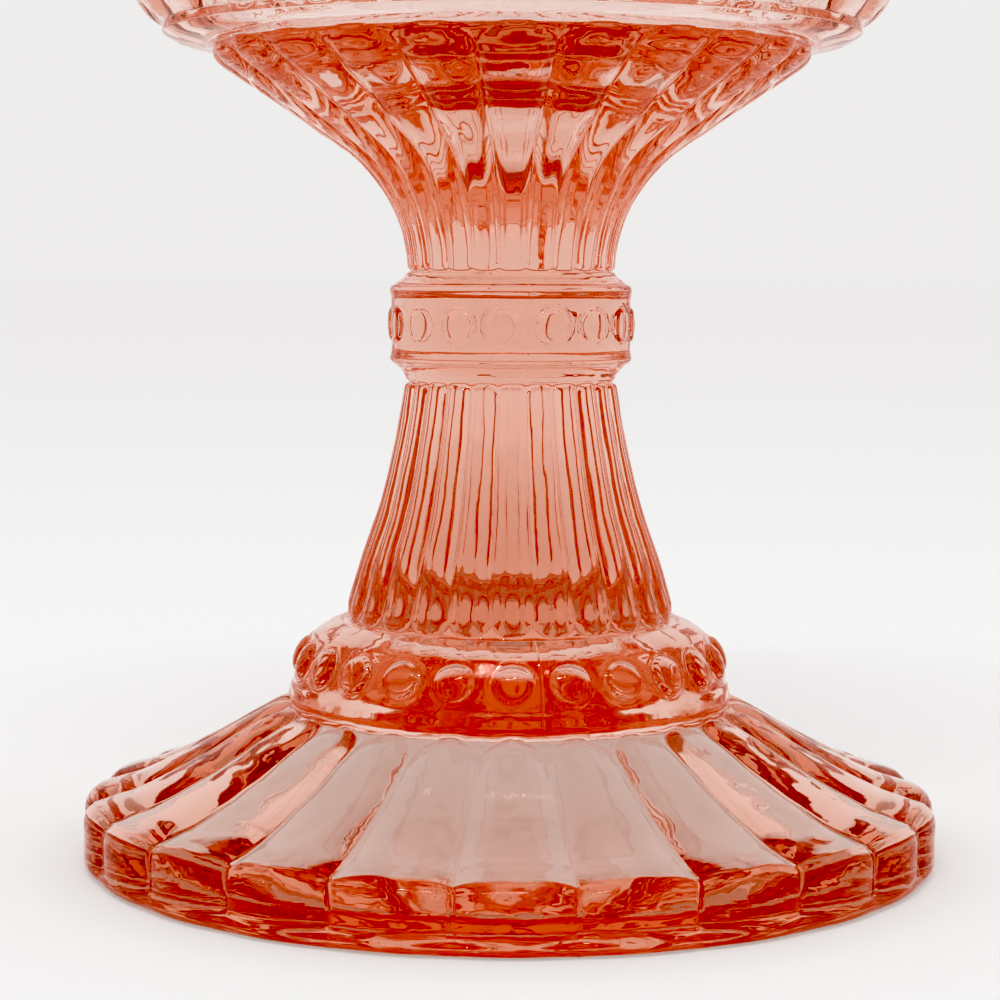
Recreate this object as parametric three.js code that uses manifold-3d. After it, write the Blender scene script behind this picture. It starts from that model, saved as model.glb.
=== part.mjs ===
// Pedestal candy dish of pressed pink glass, with a lid that lifts off.
// Millimetres, +Z up. The origin is the centre of the face that the foot stands on, and -Y is the front.
// The dish is one pressing. Its moulded sections are separate solids here, parted where the mould has a ring.

import * as THREE from 'three';
import { mergeVertices } from 'three/addons/utils/BufferGeometryUtils.js';
import Module from 'manifold-3d';

const wasm = await Module();
wasm.setup();

// ---- Driving dimensions ----

const GAP = 0.3; // air between sections that meet
const LOBES = 24; // round the foot, the stem, the bowl and the lid
const STEPS_PER_LOBE = 4;
const MERGE_TOLERANCE = 1e-4;

const FOOT_RADIUS = 60;
const FOOT_RIM_HEIGHT = 8;
const FOOT_TOP = 22;
const FOOT_BAND_HEIGHT = 1.4; // the thin round band that the foot stands on
const FOOT_CAVITY_RADIUS = 54.2;
const FOOT_CAVITY_NECK = 22; // its radius where the foot meets the ring of dots
const FOOT_LOBE_DEPTH = 1;

const COLLAR_RADIUS = 31;
const COLLAR_WALL_RADIUS = 29.2;
const COLLAR_TOP = 33.7;
const COLLAR_CAVITY_TOP = 31;
const COLLAR_DOTS = 24;
const COLLAR_DOT_RADIUS = 2.8;
const COLLAR_DOT_HEIGHT = 28;

const STEM_TOP = 67;
const STEM_FOOT_RADIUS = 23.5;
const STEM_NECK_RADIUS = 14.6;
const REED_DEPTH = 0.7;

const KNOP_RADIUS = 16.9;
const KNOP_TOP = 81.5;
const KNOP_SHOULDER = 2.4; // height of the slope above and below the round wall
const KNOP_DOTS = 16;
const KNOP_DOT_RADIUS = 2.5;
const KNOP_DOT_TURN = THREE.MathUtils.degToRad(-3.75);

const DOT_STAND = 0.7; // how far a dot stands proud of its ring
const DOT_SINK = 0.6; // how far its round body reaches below that surface

const BOWL_RIDGE_RADIUS = 42.5;
const BOWL_RIDGE_HEIGHT = 112.4;
const BOWL_RIM_RADIUS = 57.4;
const BOWL_RIM_HEIGHT = 6;
const BOWL_MOUTH_RADIUS = 52.8;
const BOWL_TOP = 150;
const BOWL_FLOOR = 95.8;
const BOWL_LOBE_DEPTH = 1;

const LID_RADIUS = 57;
const LID_FLANGE = 3;
const LID_RING_RADIUS = 52.1;
const LID_RING_WALL = 3;
const LID_RING_DROP = 3;
const LID_TOP = 175;
const LID_WALL = 5.5;
const LID_LOBE_DEPTH = 1;

const KNOB_RADIUS = 11.5;
const KNOB_NECK_RADIUS = 6;
const KNOB_HEIGHT = 28;
const KNOB_LOBES = 12;
const KNOB_LOBE_DEPTH = 0.7;

// ---- Glass ----

function glass(colour) {
  return new THREE.MeshStandardMaterial({ color: colour, roughness: 0.06, metalness: 0 });
}

// ---- Outlines ----
// An outline is a list of rows: a point of [radius, height], and how deep the valleys between lobes are there.
// It starts on the axis and ends on the axis, with the solid on its left.

function straight(pairs) {
  return pairs.map(([radius, height]) => new THREE.Vector2(radius, height));
}

function curved(steps, pairs) {
  return new THREE.SplineCurve(straight(pairs)).getPoints(steps);
}

function plain(points) {
  return points.map((point) => ({ point, depth: 0 }));
}

// The valleys keep one depth along a stretch, and can run out to nothing at its first or last row.
function lobed(depth, points, { fadesIn = false, fadesOut = false } = {}) {
  return points.map((point, row) => {
    const faded = (fadesIn && row === 0) || (fadesOut && row === points.length - 1);
    return { point, depth: faded ? 0 : depth };
  });
}

// ---- Solids ----

// Joins the vertices that lie together and drops the triangles that have no area.
function closed(geometry) {
  geometry.deleteAttribute('normal');
  geometry.deleteAttribute('uv');
  const merged = mergeVertices(geometry, MERGE_TOLERANCE);
  const corners = merged.index.array;
  const kept = [];
  for (let i = 0; i < corners.length; i += 3) {
    const [a, b, c] = corners.slice(i, i + 3);
    if (a !== b && b !== c && c !== a) {
      kept.push(a, b, c);
    }
  }
  merged.setIndex(kept);
  return merged;
}

// Turns an outline about +Z. A lobe is round between two sharp valleys, which are cut square to the surface.
function turned(outline, lobes = LOBES) {
  const points = outline.map(({ point }) => point);
  const segments = lobes * STEPS_PER_LOBE;
  const lathe = new THREE.LatheGeometry(points, segments);
  const position = lathe.getAttribute('position');
  for (let row = 1; row < points.length - 1; row += 1) {
    const slope = points[row + 1].clone().sub(points[row - 1]).normalize();
    for (let segment = 0; segment <= segments; segment += 1) {
      const turn = (segment % segments) / segments * Math.PI * 2;
      const cut = outline[row].depth * (1 - Math.abs(Math.cos(turn * lobes / 2)));
      const radius = points[row].x - slope.y * cut;
      const height = points[row].y + slope.x * cut;
      position.setXYZ(segment * points.length + row, radius * Math.sin(turn), height, radius * Math.cos(turn));
    }
  }
  lathe.rotateX(Math.PI / 2);
  return closed(lathe);
}

function toManifold(geometry) {
  return new wasm.Manifold(new wasm.Mesh({
    numProp: 3,
    vertProperties: new Float32Array(geometry.getAttribute('position').array),
    triVerts: new Uint32Array(geometry.index.array),
  }));
}

function fromManifold(solid) {
  const mesh = solid.getMesh();
  const geometry = new THREE.BufferGeometry();
  geometry.setAttribute('position', new THREE.BufferAttribute(new Float32Array(mesh.vertProperties), 3));
  geometry.setIndex(new THREE.BufferAttribute(new Uint32Array(mesh.triVerts), 1));
  return geometry;
}

// One round dot: a flattened ball, made facing -Y and then turned to its place.
function dotAt(turn, radius, wallRadius, height) {
  const dot = new THREE.SphereGeometry(1, 8, 4);
  dot.scale(radius, DOT_STAND + DOT_SINK, radius);
  dot.translate(0, -(wallRadius - DOT_SINK), height);
  dot.rotateZ(turn);
  return toManifold(closed(dot));
}

function withDots(ring, count, firstTurn, radius, wallRadius, height) {
  let solid = toManifold(ring);
  for (let dot = 0; dot < count; dot += 1) {
    const turn = firstTurn + dot / count * Math.PI * 2;
    solid = solid.add(dotAt(turn, radius, wallRadius, height));
  }
  return fromManifold(solid);
}

// ---- The dish ----

// A hollow bell with a thick rim. It stands on the flat ring inside a thin round band.
// The hollow is open at the top, where it runs on into the ring of dots.
function foot() {
  const cavity = curved(8, [
    [FOOT_CAVITY_NECK, FOOT_TOP],
    [26, 19.2],
    [31, 13.4],
    [36, 8.4],
    [45, 3.2],
    [51, 1.4],
    [FOOT_CAVITY_RADIUS, 0],
  ]);
  const band = straight([
    [FOOT_RADIUS - 0.8, 0],
    [FOOT_RADIUS, 0.8],
    [FOOT_RADIUS, FOOT_BAND_HEIGHT],
  ]);
  const rim = straight([
    [FOOT_RADIUS, FOOT_BAND_HEIGHT + 0.6],
    [FOOT_RADIUS, FOOT_RIM_HEIGHT - 1],
    [FOOT_RADIUS - 0.4, FOOT_RIM_HEIGHT + 0.3],
  ]);
  const slope = curved(5, [
    [FOOT_RADIUS - 1.5, FOOT_RIM_HEIGHT + 1.1],
    [51.7, 11.2],
    [43.7, 15.1],
    [37.1, 18.9],
    [COLLAR_RADIUS + 0.6, FOOT_TOP],
  ]);
  return turned([
    ...plain([...cavity, ...band]),
    ...lobed(FOOT_LOBE_DEPTH, [...rim, ...slope], { fadesOut: true }),
    ...plain(straight([[FOOT_CAVITY_NECK, FOOT_TOP]])),
  ]);
}

// The ring of dots that the stem stands on, with the top of the hollow in it.
function footCollar() {
  const low = FOOT_TOP + GAP;
  const cavity = curved(5, [
    [0, COLLAR_CAVITY_TOP],
    [7, 29.8],
    [14, 27.4],
    [19, 24.4],
    [FOOT_CAVITY_NECK - 0.2, low],
  ]);
  const outside = straight([
    [COLLAR_RADIUS, low],
    [COLLAR_RADIUS - 0.2, low + 2.1],
    [COLLAR_RADIUS - 0.8, low + 2.8],
    [COLLAR_WALL_RADIUS + 0.4, low + 3.2],
    [COLLAR_WALL_RADIUS - 1, 30.6],
    [27.2, 31.6],
    [STEM_FOOT_RADIUS, COLLAR_TOP],
    [0, COLLAR_TOP],
  ]);
  const ring = turned(plain([...cavity, ...outside]), COLLAR_DOTS / 2);
  return withDots(ring, COLLAR_DOTS, 0, COLLAR_DOT_RADIUS, COLLAR_WALL_RADIUS, COLLAR_DOT_HEIGHT);
}

// The solid reeded column.
function stem() {
  const low = COLLAR_TOP + GAP;
  const flare = curved(6, [
    [STEM_FOOT_RADIUS, low],
    [20.9, 42],
    [18.2, 50],
    [16.1, 59],
    [STEM_NECK_RADIUS, STEM_TOP],
  ]);
  return turned([
    ...plain(straight([[0, low]])),
    ...lobed(REED_DEPTH, flare, { fadesIn: true, fadesOut: true }),
    ...plain(straight([[0, STEM_TOP]])),
  ]);
}

// The upper ring of dots, between the stem and the bowl.
function stemCollar() {
  const low = STEM_TOP + GAP;
  const outline = straight([
    [0, low],
    [STEM_NECK_RADIUS, low],
    [KNOP_RADIUS - 1, low + KNOP_SHOULDER * 0.6],
    [KNOP_RADIUS, low + KNOP_SHOULDER],
    [KNOP_RADIUS, KNOP_TOP - KNOP_SHOULDER],
    [KNOP_RADIUS - 1, KNOP_TOP - KNOP_SHOULDER * 0.5],
    [STEM_NECK_RADIUS, KNOP_TOP],
    [0, KNOP_TOP],
  ]);
  const ring = turned(plain(outline), KNOP_DOTS / 2);
  return withDots(ring, KNOP_DOTS, KNOP_DOT_TURN, KNOP_DOT_RADIUS, KNOP_RADIUS, (low + KNOP_TOP) / 2);
}

// Reeds that widen into lobes up to a ridge, then a flared band and an upright lobed wall with a plain rim.
// Inside, a shelf runs round a small funnel at the centre of the floor.
function bowl() {
  const low = KNOP_TOP + GAP;
  const underside = curved(8, [
    [STEM_NECK_RADIUS, low],
    [STEM_NECK_RADIUS, 84.6],
    [16.9, 91.3],
    [22.3, 97.9],
    [31.7, 104.4],
    [41.1, 110.8],
    [BOWL_RIDGE_RADIUS, BOWL_RIDGE_HEIGHT],
  ]);
  const wall = curved(4, [
    [46.5, BOWL_RIDGE_HEIGHT + 1],
    [50.6, 116.8],
    [54, 126],
    [55.8, 139],
    [56.2, BOWL_TOP - BOWL_RIM_HEIGHT],
  ]);
  const rim = straight([
    [BOWL_RIM_RADIUS, BOWL_TOP - BOWL_RIM_HEIGHT + 1.6],
    [BOWL_RIM_RADIUS, BOWL_TOP - 1.6],
    [BOWL_RIM_RADIUS - 1.2, BOWL_TOP],
  ]);
  const inside = curved(14, [
    [BOWL_MOUTH_RADIUS, BOWL_TOP],
    [52.3, 143],
    [51.2, 140],
    [47.5, 129.1],
    [42, 115.6],
    [36, 112.8],
    [30, 111.7],
    [24, 109.8],
    [18, 107.7],
    [12, 104],
    [6, 99.4],
    [0, BOWL_FLOOR],
  ]);
  return turned([
    ...plain(straight([[0, low]])),
    ...lobed(BOWL_LOBE_DEPTH, underside, { fadesIn: true, fadesOut: true }),
    ...lobed(BOWL_LOBE_DEPTH, wall, { fadesIn: true, fadesOut: true }),
    ...plain([...rim, ...inside]),
  ]);
}

// ---- The lid ----

// A lobed dome. Its flange lies on the rim of the bowl and its ring drops into the mouth.
function lid() {
  const low = BOWL_TOP + GAP;
  const ringInside = LID_RING_RADIUS - LID_RING_WALL;
  const hollow = curved(5, [
    [0, LID_TOP - LID_WALL],
    [16, 167.4],
    [30, 162],
    [43, 154.8],
    [ringInside, low],
  ]);
  const ring = straight([
    [ringInside, BOWL_TOP - LID_RING_DROP],
    [LID_RING_RADIUS, BOWL_TOP - LID_RING_DROP],
    [LID_RING_RADIUS, low],
  ]);
  const flange = straight([
    [LID_RADIUS, low],
    [LID_RADIUS, low + LID_FLANGE],
  ]);
  const dome = curved(5, [
    [LID_RADIUS - 2, low + LID_FLANGE + 1.4],
    [44, 160.5],
    [30, 167.4],
    [16, 172.6],
    [KNOB_NECK_RADIUS + 3, LID_TOP],
  ]);
  return turned([
    ...plain([...hollow, ...ring, ...flange]),
    ...lobed(LID_LOBE_DEPTH, dome, { fadesIn: true, fadesOut: true }),
    ...plain(straight([[0, LID_TOP]])),
  ]);
}

function lidKnob() {
  const low = LID_TOP + GAP;
  const bulb = curved(8, [
    [KNOB_NECK_RADIUS + 2.2, low],
    [KNOB_NECK_RADIUS, low + 4],
    [KNOB_RADIUS - 1.2, low + 11],
    [KNOB_RADIUS, low + 16],
    [KNOB_RADIUS - 3, low + 24],
    [0, low + KNOB_HEIGHT],
  ]);
  return turned([
    ...plain(straight([[0, low]])),
    ...lobed(KNOB_LOBE_DEPTH, bulb, { fadesIn: true, fadesOut: true }),
  ], KNOB_LOBES);
}

// ---- Assembly ----

const SECTIONS = [
  ['foot', foot(), '#e58a70'],
  ['foot_collar', footCollar(), '#e07455'],
  ['stem', stem(), '#e39a84'],
  ['stem_collar', stemCollar(), '#e8a797'],
  ['bowl', bowl(), '#e7927b'],
  ['lid', lid(), '#e9a08c'],
  ['lid_knob', lidKnob(), '#e38a70'],
];

const dish = new THREE.Group();
for (const [name, geometry, colour] of SECTIONS) {
  const mesh = new THREE.Mesh(geometry, glass(colour));
  mesh.name = name;
  dish.add(mesh);
}

export default dish;
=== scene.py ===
"""Looks of a pedestal candy dish in pink pressed glass, with its lid.

The frame is in metres, +Z up, with -Y as the front. Outlines are written in millimetres and
scaled at the end.
"""
import math

import bmesh
import bpy
import numpy as np
from mathutils import Matrix, Vector

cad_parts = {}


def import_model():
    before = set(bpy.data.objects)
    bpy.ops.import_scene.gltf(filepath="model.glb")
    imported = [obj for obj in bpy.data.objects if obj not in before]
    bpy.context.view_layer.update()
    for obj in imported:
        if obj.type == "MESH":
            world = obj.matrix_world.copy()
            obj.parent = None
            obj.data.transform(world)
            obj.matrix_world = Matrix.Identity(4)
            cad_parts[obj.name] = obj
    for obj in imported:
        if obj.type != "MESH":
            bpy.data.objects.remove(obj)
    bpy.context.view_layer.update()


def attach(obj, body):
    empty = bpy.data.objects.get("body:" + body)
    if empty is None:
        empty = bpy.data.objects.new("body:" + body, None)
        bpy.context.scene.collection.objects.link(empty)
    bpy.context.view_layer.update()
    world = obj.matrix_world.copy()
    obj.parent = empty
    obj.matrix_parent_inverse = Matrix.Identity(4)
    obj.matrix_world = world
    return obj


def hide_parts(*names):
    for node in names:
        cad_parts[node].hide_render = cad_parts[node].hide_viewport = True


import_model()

MM = 0.001

# ---- The glass, in millimetres ----

LOBES = 24  # round the foot, the stem and the bowl
COLLAR_DOTS = 24
KNOP_DOTS = 16
KNOP_DOT_TURN = math.radians(-3.75)
LID_LOW = 150.3
KNOB_LOBES = 12
RIM_LOBE_DEPTH = 1.15
SLOPE_LOBE_DEPTH = 1.1
STEM_REED_DEPTH = 0.85
BOWL_REED_DEPTH = 0.9
BOWL_LOBE_DEPTH = 0.9
LID_LOBE_DEPTH = 1.0
KNOB_LOBE_DEPTH = 0.7

SEAM_TURNS = [math.radians(7.5 + 120.0 * third) for third in range(3)]
SEAM_COLUMNS = np.radians([-0.45, -0.3, -0.15, 0.0, 0.15, 0.3, 0.45])  # extra columns close to each seam
SEAM_CLEAR = math.radians(0.5)  # ordinary columns nearer than this give way to them
SEAM_SPREAD = math.radians(0.22)
SEAM_STAND = 0.07

MOULD_WAVE = 0.045  # height of the slow waviness all over
PRESS_WAVE = 0.02  # height of the finer waves on the foot

# The hollows, from the axis outwards and from the mouth inwards.
FOOT_HOLLOW = [(0, 31.0), (7, 29.8), (14, 27.4), (20, 23.6), (26, 19.2), (31, 13.4), (36, 8.4), (45, 3.2),
               (51, 1.4), (53.6, 0.3), (54.2, 0)]
BOWL_HOLLOW = [(53.4, 150), (52.8, 149.3), (52.3, 143), (51.2, 140.6), (47.5, 129.1), (42, 115.6),
               (36, 112.8), (30, 111.7), (24, 109.3), (18, 108), (12, 104), (6, 99.4), (0, 95.8)]

AXIS_CLEAR = 0.01  # least radius used for a lobe's width
SEGMENTS = 24 * LOBES
FINE = 0.28  # row spacing on dots and rings
MEDIUM = 0.7  # row spacing on lobes
COARSE = 1.8  # row spacing on plain surfaces

GLASS_TINT = (0.867, 0.302, 0.125)
GLASS_DENSITY = 24.0  # per metre
GLASS_IOR = 1.51
WEAR_SCALE = 140.0
WEAR_RANGE = (0.52, 0.75)
WEAR_ROUGHNESS = 0.04
BUMP_SCALE = 260.0
BUMP_STRENGTH = 0.3
BUMP_HEIGHT = 0.0002

# ---- The studio, in metres ----

FLOOR_REACH = 40.0
FLOOR_DROP = 0.0003
FLOOR_ALBEDO = 0.60
# the floor's even glow is painted light that lifts the shade under the glass
FLOOR_GLOW = 0.31
SKY_LOW = 0.885
SKY_HIGH = 0.96
SKY_EVEN_ABOVE = 0.9  # share of the way up to the zenith

LAMPS = 22
LAMP_SPACING = 0.03
LAMP_WIDTH = 0.005
LAMP_LENGTH = 0.1
LAMP_POWER = 0.15
LAMP_BAR = (-0.1, -0.75, 1.0)

CAMERA_DISTANCE = 0.360
CAMERA_HEIGHT = 0.0814
CAMERA_ASIDE = math.radians(-0.75)
CAMERA_DOWN = math.radians(5.01)
CAMERA_YAW = math.radians(0.23)
CAMERA_ROLL = math.radians(0.22)
LENS = 92.3
SENSOR = 36.0

GRADE_GAMMA = 0.85
GRADE_BLACK = (0.07, 0.14, 0.165)


# ---- Outlines: arrays of (radius, height) running up the outside of the glass ----


def catmull(points, spacing):
    """A smooth curve through points, sampled about every spacing."""
    points = np.array(points, float)
    padded = np.vstack([points[0], points, points[-1]])
    out = [points[0]]
    for i in range(len(points) - 1):
        before, start, end, after = padded[i : i + 4]
        steps = max(2, int(np.linalg.norm(end - start) / spacing) + 1)
        t = np.linspace(0, 1, steps + 1)[1:, None]
        pull_in = (end - before) / 2
        pull_out = (after - start) / 2
        out.extend(
            (2 * start - 2 * end + pull_in + pull_out) * t**3
            + (-3 * start + 3 * end - 2 * pull_in - pull_out) * t**2
            + pull_in * t
            + start
        )
    return np.array(out)


# ---- Relief: how far the glass stands out from its outline, as functions of place ----


def smoothstep(low, high, value):
    share = np.clip((value - low) / (high - low), 0, 1)
    return share * share * (3 - 2 * share)


def none(place):
    return np.zeros(np.broadcast_shapes(place["along"].shape, place["turn"].shape))


def lobes(depth, count=LOBES, start=0.0, end=0.0, roundness=2.0):
    """Rounded lobes with sharp valleys. start and end say how long their rounded ends are, in half widths."""

    def relief(place):
        across = 2 * np.abs((place["turn"] * count / (2 * math.pi) + 0.5) % 1.0 - 0.5)
        half = np.maximum(place["radius"], AXIS_CLEAR) * math.pi / count
        ends = 0.0
        if start:
            ends = np.maximum(ends, 1 - place["along"] / (half * start))
        if end:
            ends = np.maximum(ends, 1 - (place["length"] - place["along"]) / (half * end))
        spread = np.sqrt(across**2 + np.maximum(ends, 0.0) ** 2)
        return -depth * np.clip(spread, 0, 1) ** roundness

    return relief


def tapered(relief, shallow, deep, share):
    """The same relief, cut to a share of its depth at the height called shallow."""

    def cut(place):
        grown = smoothstep(0, 1, (place["height"] - shallow) / (deep - shallow))
        return relief(place) * (share + (1 - share) * grown)

    return cut


def pressed(relief):
    """The same relief, with the fine drifting waves that pressing leaves on a broad surface."""

    def waves(place):
        turn, height = place["turn"], place["height"]
        drift = 1.6 * np.sin(7 * turn + 0.5 * height)
        return relief(place) + PRESS_WAVE * (
            np.sin(58 * turn + 1.9 * height + drift) + np.sin(43 * turn - 2.3 * height - 1.3 * drift)
        )

    return waves


def foot_rim(place):
    """The lobes run down the rim and almost close in the thin band that it stands on."""
    return lobes(RIM_LOBE_DEPTH, roundness=2.4)(place) * (0.22 + 0.78 * smoothstep(1.1, 1.9, place["height"]))


def dots(count, first, centre, radius, stand, plinth):
    """Round cabochons, each in a thin moat with a round plinth outside it."""

    def relief(place):
        step = 2 * math.pi / count
        aside = ((place["turn"] - first) / step + 0.5) % 1.0 - 0.5
        spread = np.sqrt((place["radius"] * aside * step) ** 2 + (place["along"] - centre) ** 2) / radius
        dome = stand * np.sqrt(np.clip(1 - spread**2, 0, 1))
        moat = 0.16 * stand * np.exp(-(((spread - 1.09) / 0.07) ** 2))
        return dome - moat + plinth * (1 - smoothstep(1.2, 1.3, spread))

    return relief


def mould_ripple(turn, height):
    """The faint waviness that pressing leaves in the surface."""
    waves = [(7, 0.55, 0.3), (13, -0.8, 1.7), (19, 0.35, 4.1), (31, -0.45, 2.2), (5, 1.3, 5.0)]
    total = sum(np.sin(around * turn + up * height + start) for around, up, start in waves)
    return MOULD_WAVE * total / len(waves)


def stretch(points, relief=none):
    return (np.array(points, float), relief)


# ---- Meshes ----


def turned(name, stretches, segments=SEGMENTS, seams=()):
    """Turns an outline about +Z into one closed mesh. The outline starts and ends on the axis."""
    turn = np.linspace(0, 2 * math.pi, segments, endpoint=False)
    for seam in seams:
        turn = turn[np.abs(turn - seam) > SEAM_CLEAR]
        turn = np.concatenate([turn, seam + SEAM_COLUMNS])
    turn = np.sort(turn)[None, :]
    outline = np.vstack([points for points, _ in stretches])
    slope = np.gradient(outline, axis=0)
    slope /= np.maximum(np.linalg.norm(slope, axis=1, keepdims=True), 1e-9)
    outward = np.stack([slope[:, 1], -slope[:, 0]], axis=1)
    stand = []
    for points, relief in stretches:
        steps = np.linalg.norm(np.diff(points, axis=0), axis=1)
        along = np.concatenate([[0.0], np.cumsum(steps)])[:, None]
        place = {
            "radius": points[:, :1],
            "height": points[:, 1:],
            "along": along,
            "length": along[-1, 0],
            "turn": turn,
        }
        stand.append(relief(place) + np.zeros((len(points), turn.shape[1])))
    stand = np.vstack(stand)
    stand += mould_ripple(turn, outline[:, 1:]) * smoothstep(8, 14, outline[:, :1])
    for seam in seams:
        outside = (outward[:, :1] > -0.2) & (outline[:, :1] > 5)
        stand += SEAM_STAND * np.exp(-(((turn - seam) / SEAM_SPREAD) ** 2)) * outside
    radius = outline[:, :1] + outward[:, :1] * stand
    height = outline[:, 1:] + outward[:, 1:] * stand
    radius = radius[1:-1]
    height = height[1:-1]
    rows, columns = radius.shape
    grid = np.stack([radius * np.sin(turn), -radius * np.cos(turn), height * np.ones_like(turn)], axis=-1)
    poles = [[0, 0, outline[0, 1]], [0, 0, outline[-1, 1]]]
    vertices = np.vstack([grid.reshape(-1, 3), poles]) * MM
    index = np.arange(rows * columns).reshape(rows, columns)
    right = np.roll(index, -1, axis=1)
    quads = np.stack([index[:-1], right[:-1], right[1:], index[1:]], axis=-1).reshape(-1, 4)
    low, high = rows * columns, rows * columns + 1
    fans = [(low, b, a) for a, b in zip(index[0], right[0])]
    fans += [(high, a, b) for a, b in zip(index[-1], right[-1])]
    mesh = bpy.data.meshes.new(name)
    mesh.from_pydata(vertices.tolist(), [], quads.tolist() + [tuple(map(int, f)) for f in fans])
    mesh.update()
    mesh.shade_smooth()
    piece = bpy.data.objects.new(name, mesh)
    bpy.context.scene.collection.objects.link(piece)
    return piece


# ---- The dish ----


def dish_outline():
    cavity = catmull(FOOT_HOLLOW, COARSE)
    base = [(54.6, 0), (56, 0), (58, 0), (59.0, 0)]
    rim = catmull(
        [(59.3, 0.05), (59.8, 0.5), (60, 1.1), (60, 2.0), (60, 4.8), (60, 6.6), (59.6, 8.0), (58.6, 8.95)],
        0.3,
    )
    slope = catmull(
        [(58.3, 9.1), (55, 10.1), (51.7, 11.2), (43.7, 15.1), (37.1, 18.9), (31.5, 22.0)],
        MEDIUM,
    )
    base_band = catmull([(31.0, 22.2), (31.15, 22.6), (31.1, 23.2), (30.95, 23.9), (30.75, 24.4)], FINE)
    wall = catmull([(30.6, 24.7), (30.2, 25.8), (29.7, 27.3), (29.0, 28.9), (27.9, 30.8), (27.6, 31.2)], FINE)
    shoulder = catmull([(27.4, 31.4), (26.7, 31.9), (25.4, 32.6), (23.8, 33.2)], FINE)
    flare = catmull([(23.5, 33.4), (22.9, 35.4), (20.9, 42), (18.2, 50), (16.1, 59), (14.8, 66.6)], MEDIUM)
    lower_cove = catmull([(14.7, 67.0), (15.1, 67.9), (15.9, 68.8), (16.4, 69.2)], FINE)
    lower_bead = catmull([(16.7, 69.4), (16.95, 69.8), (16.8, 70.5), (16.72, 70.9)], FINE)
    knop = catmull([(16.7, 71.1), (16.72, 74.6), (16.7, 78.1)], FINE)
    upper_bead = catmull([(16.72, 78.3), (16.8, 78.7), (16.95, 79.4), (16.7, 79.9)], FINE)
    upper_cove = catmull([(16.4, 80.1), (15.9, 80.4), (14.9, 81.3), (14.5, 81.8)], FINE)
    reeds = catmull(
        [(14.5, 82.0), (14.7, 84.6), (15.5, 88), (16.9, 91.3), (19.1, 94.6), (22.3, 97.9), (27.1, 101.2),
         (31.7, 104.4), (36.6, 107.6), (40.9, 110.6), (42.3, 112.2)],
        MEDIUM,
    )
    band = catmull([(42.4, 112.7), (44.6, 113.0), (46.5, 113.4), (48.2, 114.4)], 0.5)
    bowl_wall = catmull(
        [(48.6, 114.7), (50.6, 116.8), (52.4, 120), (53.8, 126), (55.0, 133), (55.7, 139), (56.0, 143.6)],
        MEDIUM,
    )
    rim_band = catmull(
        [(56.2, 144.0), (57.2, 144.9), (57.4, 146), (57.4, 148.2), (56.9, 149.4), (55.9, 150)],
        0.5,
    )
    inside = catmull(BOWL_HOLLOW, MEDIUM)
    stem_reeds = lobes(STEM_REED_DEPTH, start=1.0, end=0.4, roundness=2.2)
    stem_reeds = tapered(stem_reeds, shallow=66, deep=40, share=0.7)
    bowl_reeds = lobes(BOWL_REED_DEPTH, start=0.4, end=0.7, roundness=3.4)
    bowl_reeds = tapered(bowl_reeds, shallow=85, deep=97, share=0.5)
    return [
        stretch(cavity),
        stretch(base),
        stretch(rim, foot_rim),
        stretch(slope, pressed(lobes(SLOPE_LOBE_DEPTH, end=1.0, roundness=3.0))),
        stretch(base_band),
        stretch(wall, dots(COLLAR_DOTS, first=0.0, centre=3.7, radius=2.6, stand=0.95, plinth=0.12)),
        stretch(shoulder),
        stretch(flare, stem_reeds),
        stretch(lower_cove),
        stretch(lower_bead),
        stretch(knop, dots(KNOP_DOTS, first=KNOP_DOT_TURN, centre=3.5, radius=2.35, stand=0.55, plinth=0.05)),
        stretch(upper_bead),
        stretch(upper_cove),
        stretch(reeds, bowl_reeds),
        stretch(band),
        stretch(bowl_wall, lobes(BOWL_LOBE_DEPTH, start=1.0, end=1.0, roundness=2.6)),
        stretch(rim_band),
        stretch(inside),
    ]


def lid_outline():
    hollow = catmull([(0, 169.5), (16, 167.4), (30, 162), (43, 154.8), (48.8, 150.6)], COARSE)
    ring = catmull(
        [(49.1, 150.0), (49.1, 147.6), (49.6, 147), (51.5, 147), (52.1, 147.6), (52.1, 150.2)],
        0.6,
    )
    flange = catmull([(52.4, LID_LOW), (56.4, LID_LOW), (57, 150.9), (57, 153.0), (56.5, 153.9)], 0.6)
    dome = catmull([(55.6, 154.4), (50, 157.3), (44, 160.5), (30, 167.4), (16, 172.6), (9.4, 175)], MEDIUM)
    knob = catmull(
        [(8.2, 175.6), (6.6, 177.4), (6.0, 179.5), (7.4, 183.0), (10.3, 186.5), (11.5, 191.3),
         (10.6, 196), (7.4, 200.4), (3.0, 202.9), (0, 203.3)],
        MEDIUM,
    )
    return [
        stretch(hollow),
        stretch(ring),
        stretch(flange),
        stretch(dome, lobes(LID_LOBE_DEPTH, start=0.8, end=1.0)),
        stretch(knob, lobes(KNOB_LOBE_DEPTH, count=KNOB_LOBES, start=2.0, end=4.0)),
    ]


# ---- Glass ----


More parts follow.
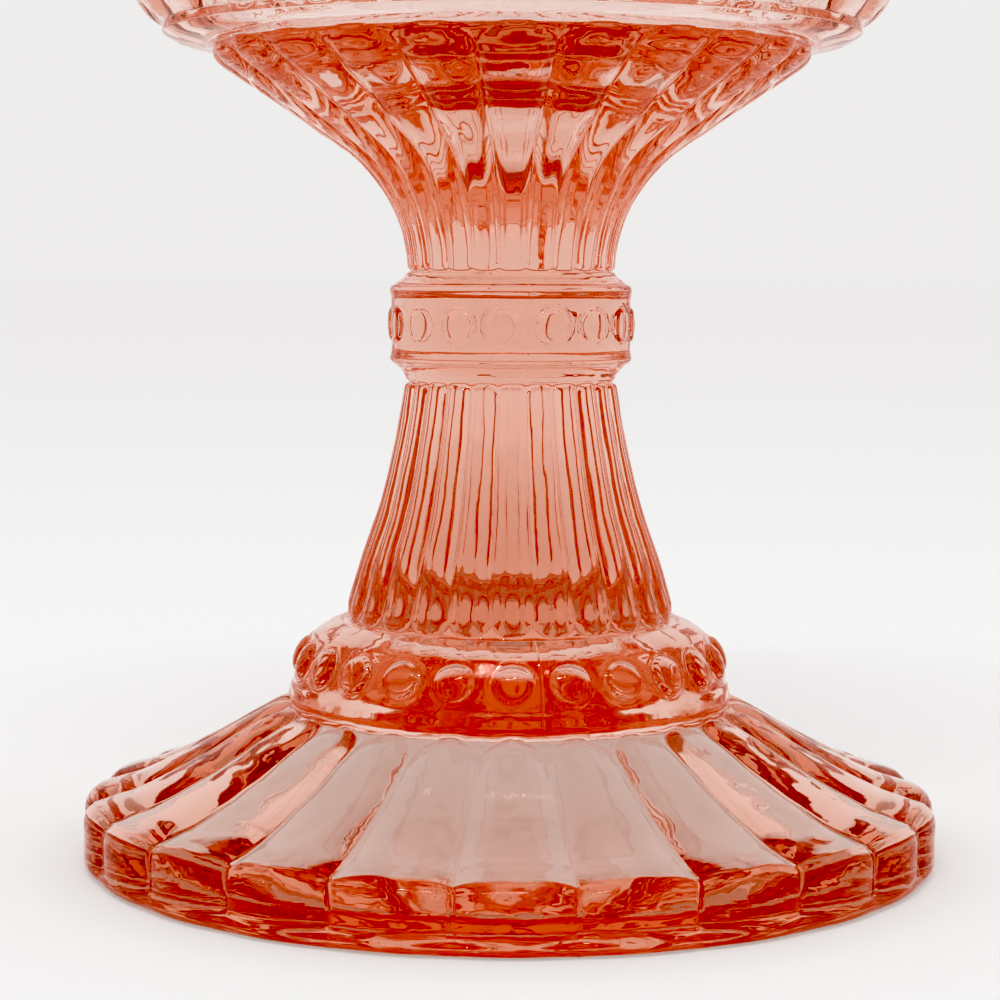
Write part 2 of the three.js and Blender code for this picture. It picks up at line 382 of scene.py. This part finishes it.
def glass(name):
    """Pressed glass: clear at the surface, coloured by its thickness, with the soft ripple of the mould."""
    material = bpy.data.materials.new(name)
    material.use_nodes = True
    nodes = material.node_tree.nodes
    links = material.node_tree.links
    surface = nodes["Principled BSDF"]
    output = nodes["Material Output"]
    surface.inputs["Base Color"].default_value = (1, 1, 1, 1)
    surface.inputs["IOR"].default_value = GLASS_IOR
    surface.inputs["Transmission Weight"].default_value = 1.0
    place = nodes.new("ShaderNodeTexCoord")
    wear = nodes.new("ShaderNodeTexNoise")
    wear.inputs["Scale"].default_value = WEAR_SCALE
    wear.inputs["Detail"].default_value = 2.0
    links.new(place.outputs["Object"], wear.inputs["Vector"])
    polish = nodes.new("ShaderNodeMapRange")
    polish.inputs["From Min"].default_value = WEAR_RANGE[0]
    polish.inputs["From Max"].default_value = WEAR_RANGE[1]
    polish.inputs["To Min"].default_value = 0.0
    polish.inputs["To Max"].default_value = WEAR_ROUGHNESS
    links.new(wear.outputs["Fac"], polish.inputs["Value"])
    links.new(polish.outputs["Result"], surface.inputs["Roughness"])
    ripple = nodes.new("ShaderNodeTexNoise")
    ripple.inputs["Scale"].default_value = BUMP_SCALE
    ripple.inputs["Detail"].default_value = 2.0
    links.new(place.outputs["Object"], ripple.inputs["Vector"])
    bump = nodes.new("ShaderNodeBump")
    bump.inputs["Strength"].default_value = BUMP_STRENGTH
    bump.inputs["Distance"].default_value = BUMP_HEIGHT
    links.new(ripple.outputs["Fac"], bump.inputs["Height"])
    links.new(bump.outputs["Normal"], surface.inputs["Normal"])
    absorption = nodes.new("ShaderNodeVolumeAbsorption")
    absorption.inputs["Color"].default_value = (*GLASS_TINT, 1)
    absorption.inputs["Density"].default_value = GLASS_DENSITY
    links.new(absorption.outputs["Volume"], output.inputs["Volume"])
    return material


# ---- Studio ----


def floor():
    """A wide sheet of pale paper that glows evenly, as bright as the far sky, so that no horizon shows. The
    glow is painted light: it lifts the shade on the floor under the glass and softens the contact shadows.
    """
    cells = 8
    bm = bmesh.new()
    bmesh.ops.create_grid(bm, x_segments=cells, y_segments=cells, size=FLOOR_REACH)
    mesh = bpy.data.meshes.new("floor")
    bm.to_mesh(mesh)
    bm.free()
    piece = bpy.data.objects.new("floor", mesh)
    bpy.context.scene.collection.objects.link(piece)
    material = bpy.data.materials.new("pale_paper_painted_glow")
    material.use_nodes = True
    surface = material.node_tree.nodes["Principled BSDF"]
    surface.inputs["Base Color"].default_value = (*[FLOOR_ALBEDO] * 3, 1)
    surface.inputs["Roughness"].default_value = 0.9
    surface.inputs["Specular IOR Level"].default_value = 0.0
    # painted light: an even glow over the whole floor, which brightens the shade under the glass
    surface.inputs["Emission Color"].default_value = (1, 1, 1, 1)
    surface.inputs["Emission Strength"].default_value = FLOOR_GLOW
    mesh.materials.append(material)
    piece.location.z = -FLOOR_DROP


def world():
    """Even light, a little brighter overhead than at the horizon."""
    scene = bpy.context.scene
    scene.world = bpy.data.worlds.new("studio")
    scene.world.use_nodes = True
    nodes = scene.world.node_tree.nodes
    links = scene.world.node_tree.links
    back = nodes["Background"]
    place = nodes.new("ShaderNodeTexCoord")
    split = nodes.new("ShaderNodeSeparateXYZ")
    links.new(place.outputs["Generated"], split.inputs["Vector"])
    ramp = nodes.new("ShaderNodeMapRange")
    ramp.interpolation_type = "SMOOTHSTEP"
    ramp.inputs["From Min"].default_value = 0.0
    ramp.inputs["From Max"].default_value = SKY_EVEN_ABOVE
    ramp.inputs["To Min"].default_value = SKY_LOW
    ramp.inputs["To Max"].default_value = SKY_HIGH
    links.new(split.outputs["Z"], ramp.inputs["Value"])
    links.new(ramp.outputs["Result"], back.inputs["Strength"])
    back.inputs["Color"].default_value = (1.0, 1.0, 1.0, 1)


def light_bar():
    """A bar of small lamps above the front, which glints on the rounded edges of the glass."""
    for lamp in range(LAMPS):
        data = bpy.data.lights.new(f"lamp_{lamp}", "AREA")
        data.shape = "RECTANGLE"
        data.size = LAMP_WIDTH
        data.size_y = LAMP_LENGTH
        data.energy = LAMP_POWER
        piece = bpy.data.objects.new(f"lamp_{lamp}", data)
        bpy.context.scene.collection.objects.link(piece)
        place = Vector(((lamp - (LAMPS - 1) / 2) * LAMP_SPACING + LAMP_BAR[0], *LAMP_BAR[1:]))
        piece.location = place
        piece.rotation_euler = place.to_track_quat("Z", "Y").to_euler()


def camera():
    """Stands in front of the dish at stem height, looking slightly down."""
    data = bpy.data.cameras.new("camera")
    data.sensor_width = SENSOR
    data.lens = LENS
    data.clip_start = 0.01
    eye = bpy.data.objects.new("camera", data)
    bpy.context.scene.collection.objects.link(eye)
    turn = Matrix.Rotation(CAMERA_ASIDE, 4, "Z")
    back = Matrix.Translation(Vector((0, -CAMERA_DISTANCE, CAMERA_HEIGHT)))
    yaw = Matrix.Rotation(CAMERA_YAW, 4, "Z")
    pitch = Matrix.Rotation(math.radians(90) - CAMERA_DOWN, 4, "X")
    roll = Matrix.Rotation(CAMERA_ROLL, 4, "Z")
    eye.matrix_world = turn @ back @ yaw @ pitch @ roll
    bpy.context.scene.camera = eye


def looks():
    scene = bpy.context.scene
    scene.view_settings.view_transform = "Standard"
    scene.view_settings.gamma = GRADE_GAMMA
    scene.view_settings.use_curve_mapping = True
    curves = scene.view_settings.curve_mapping
    curves.black_level = GRADE_BLACK
    curves.update()
    scene.cycles.max_bounces = 32
    scene.cycles.diffuse_bounces = 3
    scene.cycles.transmission_bounces = 32
    scene.cycles.glossy_bounces = 16
    scene.cycles.transparent_max_bounces = 16
    scene.cycles.caustics_refractive = True
    scene.cycles.caustics_reflective = True


looks()
camera()
floor()
world()
light_bar()

PINK = glass("pink_glass")
dish = turned("dish_glass", dish_outline(), seams=SEAM_TURNS)
dish.data.materials.append(PINK)
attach(dish, "dish")
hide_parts("foot", "foot_collar", "stem", "stem_collar", "bowl")

lid = turned("lid_glass", lid_outline())
lid.data.materials.append(PINK)
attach(lid, "lid")
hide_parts("lid", "lid_knob")
